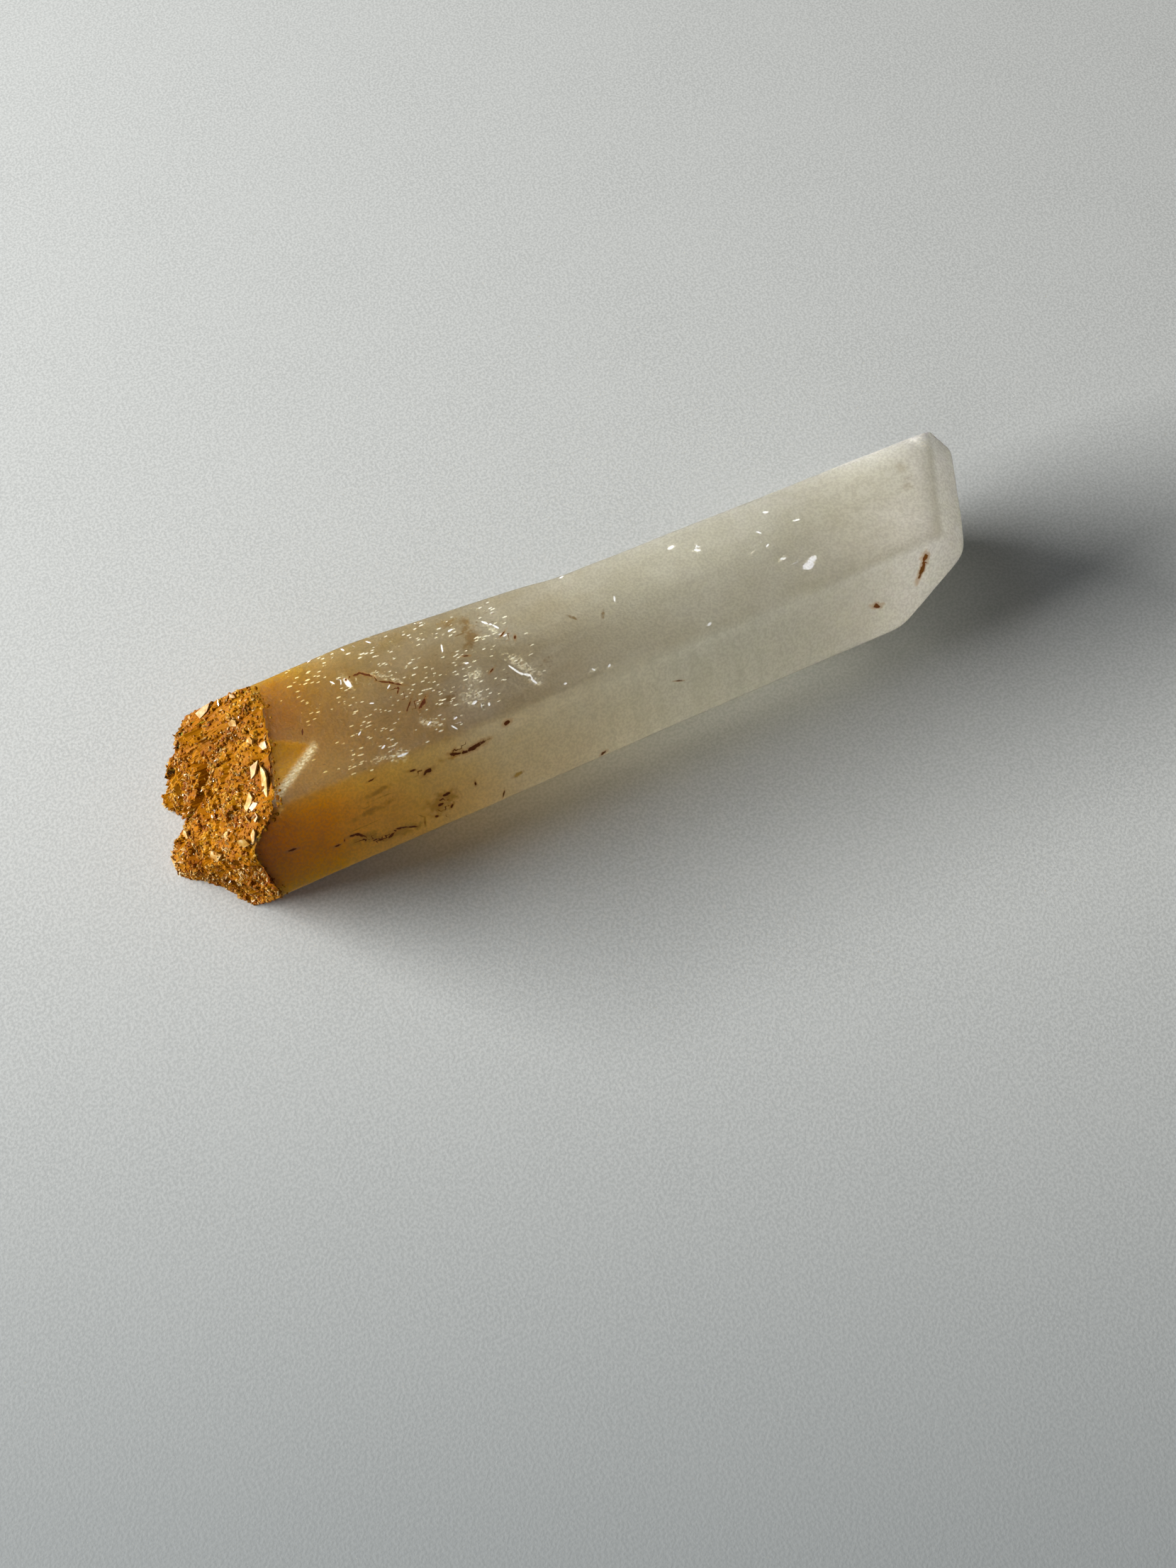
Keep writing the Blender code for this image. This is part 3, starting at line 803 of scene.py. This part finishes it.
    # how matt the skin is, and its etching
    dull = finish.scaled(finish.noise(place, 1.2, 4.0), 0.2, 0.48)
    frosted = finish.product(below, finish.between(x, -8.0, 4.0))
    dull = finish.scaled(frosted, 0.14, dull)
    dull = finish.scaled(flaw, -0.35, dull)
    fine = finish.noise(place, 0.20, 3.0)
    coarse = finish.noise(place, 0.7, 3.0)
    height = finish.scaled(coarse, 2.0, fine)
    bump = finish.add("Bump", Height=height, Strength=0.5, Distance=0.00008)
    finish.wire(finish.shader, Base_Color=colour, Roughness=dull, Transmission_Weight=clear, IOR=1.54,
                Subsurface_Weight=1.0, Subsurface_Radius=(24, 25, 21), Subsurface_Scale=0.001,
                Specular_IOR_Level=0.12, Normal=bump.outputs["Normal"])
    haze = finish.add("VolumeAbsorption", Color=(0.80, 0.70, 0.50, 1), Density=6.0)
    output = finish.tree.nodes["Material Output"]
    finish.wire(output, Volume=haze.outputs[0])
    return finish.made


def give(made, name, values):
    """Stores a number or a vector for each point of a piece, for its material to read."""
    kind, field = ("FLOAT_VECTOR", "vector") if values.ndim == 2 else ("FLOAT", "value")
    stored = made.data.attributes.new(name, kind, "POINT")
    stored.data.foreach_set(field, values.astype(np.float32).ravel())


skin = put_mesh("crystal", everything, triangles, milky_quartz())
flat_shaded = (triangles < BASE_ROWS * around).all(axis=1) | (triangles == first_pole).any(axis=1)
skin.data.polygons.foreach_set("use_smooth", ~flat_shaded)
row = np.repeat(np.arange(rings), around)
give(skin, "broken", np.append(1 - smooth(row, BASE_ROWS - 2, BASE_ROWS + 3), (1.0, 0.0)))
give(skin, "scar", np.append((scar * on_side).ravel(), (0.0, 0.0)))
under = smooth(-normals[..., 2], 0.2, 0.6) * smooth(points[..., 0], 12, 24)
give(skin, "under", np.append(under.ravel(), (0.0, 0.0)))
give(skin, "bruise", np.append(bruise.ravel(), (0.0, 0.0)))
marks = {"fleck": IRON_FLECKS, "stain": OCHRE_STAINS, "veil": MILKY_VEILS, "glint": GLINTS}
for kind, placed in marks.items():
    give(skin, kind, mark_field(everything - SHIFT, placed))
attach(skin, "root")
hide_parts("quartz_point")

# The crust of the break: a thin layer of halloysite and crushed quartz over the whole break.
# It is orange to rust brown and opaque, follows the lumps of the broken quartz, and holds the
# grains.
CRUST_LIFT = 0.04
HONEY_TINTS = (
    (0.05, (0.16, 0.034, 0.0)), (0.36, (0.22, 0.070, 0.0)), (0.62, (0.28, 0.105, 0.0)),
    (0.80, (0.40, 0.200, 0.012)), (0.95, (0.62, 0.42, 0.14)),
)


def halloysite_coat(name, clear):
    """Quartz soaked with orange halloysite: rust brown in the dark clumps, honey where the quartz
    is cleaner, waxy rather than glassy because the clay coats it. The tone stored for each point
    and fine noise pick the tint, and clear is the share of light that goes through."""
    finish = Finish(name)
    tone = finish.stored("tone")
    place = finish.drawing_place(SHIFT)
    tone = finish.maths("SUBTRACT", tone, 0.15)
    tone = finish.scaled(finish.noise(place, 0.3, 2.0), 0.3, tone)
    colour = finish.ramp(tone, *HONEY_TINTS)
    finish.wire(finish.shader, Base_Color=colour, Roughness=0.50, IOR=1.54, Specular_IOR_Level=0.04,
                Transmission_Weight=clear)
    return finish.made


crust_faces = triangles[flat_shaded]
crust_used, crust_index = np.unique(crust_faces, return_inverse=True)
crust_out = np.concatenate([normals.reshape(-1, 3), [(-1.0, 0.0, 0.0), (1.0, 0.0, 0.0)]])
crust_points = inside_box((everything + CRUST_LIFT * crust_out)[crust_used])
crust = put_mesh("break_crust", crust_points, crust_index.reshape(-1, 3),
                 halloysite_coat("halloysite_crust", 0.0), smooth=False)
give(crust, "tone", 0.50 + 0.34 * drift(crust_points, 1.6, 31, 2))
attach(crust, "root")

# The grains of the break: small quartz crystals that the halloysite holds together.
# They are angular, flat-sided and honey to rust brown, a few of them pale, and they cover the
# whole break, half sunk in it.
GRAINS = 8200
GRAIN_SIZE = (0.11, 0.30)  # half widths of the smallest and the largest
GRAIN_SINK = 0.1  # share of its half width by which a grain's middle lies under the break
# the corners and sides of a regular twenty-sided ball, which each grain starts from
golden = (1 + math.sqrt(5)) / 2
CORNERS = np.array([
    (-1, golden, 0), (1, golden, 0), (-1, -golden, 0), (1, -golden, 0), (0, -1, golden), (0, 1, golden),
    (0, -1, -golden), (0, 1, -golden), (golden, 0, -1), (golden, 0, 1), (-golden, 0, -1), (-golden, 0, 1),
]) / math.hypot(1, golden)
SIDES = np.array([
    (0, 11, 5), (0, 5, 1), (0, 1, 7), (0, 7, 10), (0, 10, 11), (1, 5, 9), (5, 11, 4),
    (11, 10, 2), (10, 7, 6), (7, 1, 8), (3, 9, 4), (3, 4, 2), (3, 2, 6), (3, 6, 8),
    (3, 8, 9), (4, 9, 5), (2, 4, 11), (6, 2, 10), (8, 6, 7), (9, 8, 1),
])


def turns(random, count):
    """Random turns as matrices, from unit quaternions with evenly spread directions."""
    q = random.normal(size=(count, 4))
    w, i, j, k = (q / np.linalg.norm(q, axis=1, keepdims=True)).T
    return np.stack([
        np.stack([1 - 2 * (j * j + k * k), 2 * (i * j - k * w), 2 * (i * k + j * w)], -1),
        np.stack([2 * (i * j + k * w), 1 - 2 * (i * i + k * k), 2 * (j * k - i * w)], -1),
        np.stack([2 * (i * k - j * w), 2 * (j * k + i * w), 1 - 2 * (i * i + j * j)], -1),
    ], 1)


def grain_mesh(middles, sizes, random):
    """Angular grains: twenty-sided balls, each squeezed three ways, turned at random and with its
    corners moved in by up to a third or out by up to a twelfth."""
    count = len(middles)
    corners = CORNERS * random.uniform(0.66, 1.08, (count, 12, 1))
    corners = corners * random.uniform(0.5, 1.0, (count, 1, 3)) * sizes[:, None, None]
    corners = np.einsum("nij,nkj->nki", turns(random, count), corners) + middles[:, None]
    faces = SIDES + 12 * np.arange(count)[:, None, None]
    return corners.reshape(-1, 3), faces.reshape(-1, 3)


random = np.random.default_rng(5)
grain_row = (BASE_ROWS * random.random(GRAINS) ** 0.556).astype(int) + random.integers(0, 3, GRAINS)
grain_column = random.integers(0, around, GRAINS)
slide = random.random((GRAINS, 1))
next_column = (grain_column + 1) % around
grain_middle = points[grain_row, grain_column] * slide + points[grain_row, next_column] * (1 - slide)
grain_size = GRAIN_SIZE[0] + (GRAIN_SIZE[1] - GRAIN_SIZE[0]) * random.random(GRAINS) ** 2.2
grain_middle -= GRAIN_SINK * grain_size[:, None] * normals[grain_row, grain_column]
grain_corners, grain_faces = grain_mesh(grain_middle, grain_size, random)
grain_corners = inside_box(grain_corners)
grain_tone = 0.48 + 0.34 * drift(grain_middle, 1.6, 31, 2) + 0.60 * (random.random(GRAINS) - 0.5)

grains = put_mesh("break_grains", grain_corners, grain_faces,
                  halloysite_coat("halloysite_grains", 0.12), smooth=False)
give(grains, "tone", np.repeat(grain_tone, 12))
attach(grains, "root")

# The clean shards of the break: glassy splinters of quartz that the halloysite hasn't stained.
# They are thin, cream to clear, lie in the break's surface and catch the window light.
SHARD_SIDES = 5
SHARD_THICK = 0.16
SHARD_LIFT = (-0.22, 0, 0.06)  # how far a shard's and a splinter's middle stands out of the break
SPLINTER_LIFT = (-0.13, 0, 0)
# y and z of the middle, y and z of the long direction, half length and half width
SHARDS = [
    (-1.4, 10.15, -1.0, 0.0, 1.80, 0.42), (0.1, 9.7, -0.6, -0.8, 1.00, 0.45),
    (-1.9, 9.0, -1.0, -0.4, 0.85, 0.50), (-2.6, 9.6, -0.5, -0.9, 0.55, 0.35),
    (2.4, 10.0, 1.0, -0.3, 0.75, 0.45), (1.4, 10.3, 0.6, -0.6, 0.50, 0.38),
    (-4.7, 9.3, -0.6, -0.8, 0.60, 0.32), (-4.6, 8.8, -1.0, 0.2, 0.50, 0.30),
    (-2.5, 5.0, -0.9, 0.4, 0.75, 0.42), (-2.0, 6.2, -0.9, -0.4, 0.50, 0.30),
    (1.0, 3.5, 0.5, -0.8, 0.60, 0.40), (0.4, 1.5, -0.7, -0.6, 0.55, 0.42),
    (7.2, 8.6, 0.4, 0.9, 0.80, 0.36), (6.6, 10.0, 1.0, 0.2, 0.35, 0.22),
    (-3.9, 10.1, -0.4, -0.9, 0.45, 0.14), (4.6, 9.6, 1.0, -0.5, 0.60, 0.30),
]
SPLINTERS = 900


def shard_mesh(middles, along, over, sizes, random):
    """Thin ragged plates: two many-sided faces a thickness apart, whose corners lie on an ellipse
    of the half length and half width, pulled in at random, with a raised or sunk middle."""
    count = len(middles)
    uneven = random.uniform(-0.35, 0.35, (count, SHARD_SIDES))
    angle = 2 * math.pi * (np.arange(SHARD_SIDES) + uneven) / SHARD_SIDES
    reach = random.uniform(0.50, 1.15, (count, SHARD_SIDES))
    out = np.cross(along, over)
    edge = (along[:, None] * (sizes[:, None, :1] * (reach * np.cos(angle))[..., None])
            + over[:, None] * (sizes[:, None, 1:2] * (reach * np.sin(angle))[..., None]))
    lift = out[:, None] * sizes[:, None, 2:]
    top, bottom = middles[:, None] + edge + lift, middles[:, None] + edge - lift
    hub = middles[:, None] + lift * random.uniform(0.9, 1.8, (count, 1, 1))
    corners = np.concatenate([top, bottom, hub, middles[:, None] - lift], 1)
    k = np.arange(SHARD_SIDES)
    after = (k + 1) % SHARD_SIDES
    hub_index = np.full(SHARD_SIDES, 2 * SHARD_SIDES)
    faces = np.concatenate([
        np.stack([k, after, hub_index], -1),
        np.stack([after, k, k + SHARD_SIDES], -1),
        np.stack([after, k + SHARD_SIDES, after + SHARD_SIDES], -1),
        np.stack([after + SHARD_SIDES, k + SHARD_SIDES, hub_index + 1], -1),
    ])
    faces = faces + corners.shape[1] * np.arange(count)[:, None, None]
    return corners.reshape(-1, 3), faces.reshape(-1, 3)


def on_break(y, z):
    """Points of the built break nearest to places across it, in the drawing's y and z."""
    grid = points[:BASE_ROWS].reshape(-1, 3)
    away = (grid[None, :, 1] - (y + SHIFT[1])[:, None]) ** 2 + (grid[None, :, 2] - z[:, None]) ** 2
    return grid[np.argmin(away, axis=1)]


listed = np.array(SHARDS)
small = random.integers(0, GRAINS, SPLINTERS)
small_middle = grain_middle[small] + SPLINTER_LIFT
small_turn = turns(random, SPLINTERS)
listed_middle = on_break(listed[:, 0], listed[:, 1])
listed_end = listed[:, :2] + 0.9 * listed[:, 2:4]
listed_along = on_break(listed_end[:, 0], listed_end[:, 1]) - listed_middle
listed_along /= np.linalg.norm(listed_along, axis=1, keepdims=True) + 1e-9
listed_over = np.cross(listed_along, (-0.85, -0.2, 0.5))
listed_over /= np.linalg.norm(listed_over, axis=1, keepdims=True)
listed_size = np.stack([listed[:, 4], listed[:, 5], np.full(len(listed), SHARD_THICK / 2)], -1)
small_size = np.stack([random.uniform(0.12, 0.34, SPLINTERS), random.uniform(0.06, 0.16, SPLINTERS),
                       random.uniform(0.02, 0.05, SPLINTERS)], -1)
shard_corners, shard_faces = shard_mesh(
    np.concatenate([listed_middle + SHARD_LIFT, small_middle]),
    np.concatenate([listed_along, small_turn[:, 0]]),
    np.concatenate([listed_over, small_turn[:, 1]]),
    np.concatenate([listed_size, small_size]),
    random,
)
shard_corners = inside_box(shard_corners)


def clean_quartz():
    """Glassy quartz, cream with a breath of halloysite in the cracks, picked by cloudy noise."""
    finish = Finish("clean_quartz")
    place = finish.drawing_place(SHIFT)
    colour = finish.ramp(finish.noise(place, 0.5, 3.0), (0.34, (0.30, 0.125, 0.006)),
                         (0.50, (0.44, 0.25, 0.05)), (0.68, (0.60, 0.46, 0.24)))
    finish.wire(finish.shader, Base_Color=colour, Roughness=0.28, IOR=1.54, Transmission_Weight=0.15)
    return finish.made


shards = put_mesh("clean_shards", shard_corners, shard_faces, clean_quartz(), smooth=False)
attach(shards, "root")
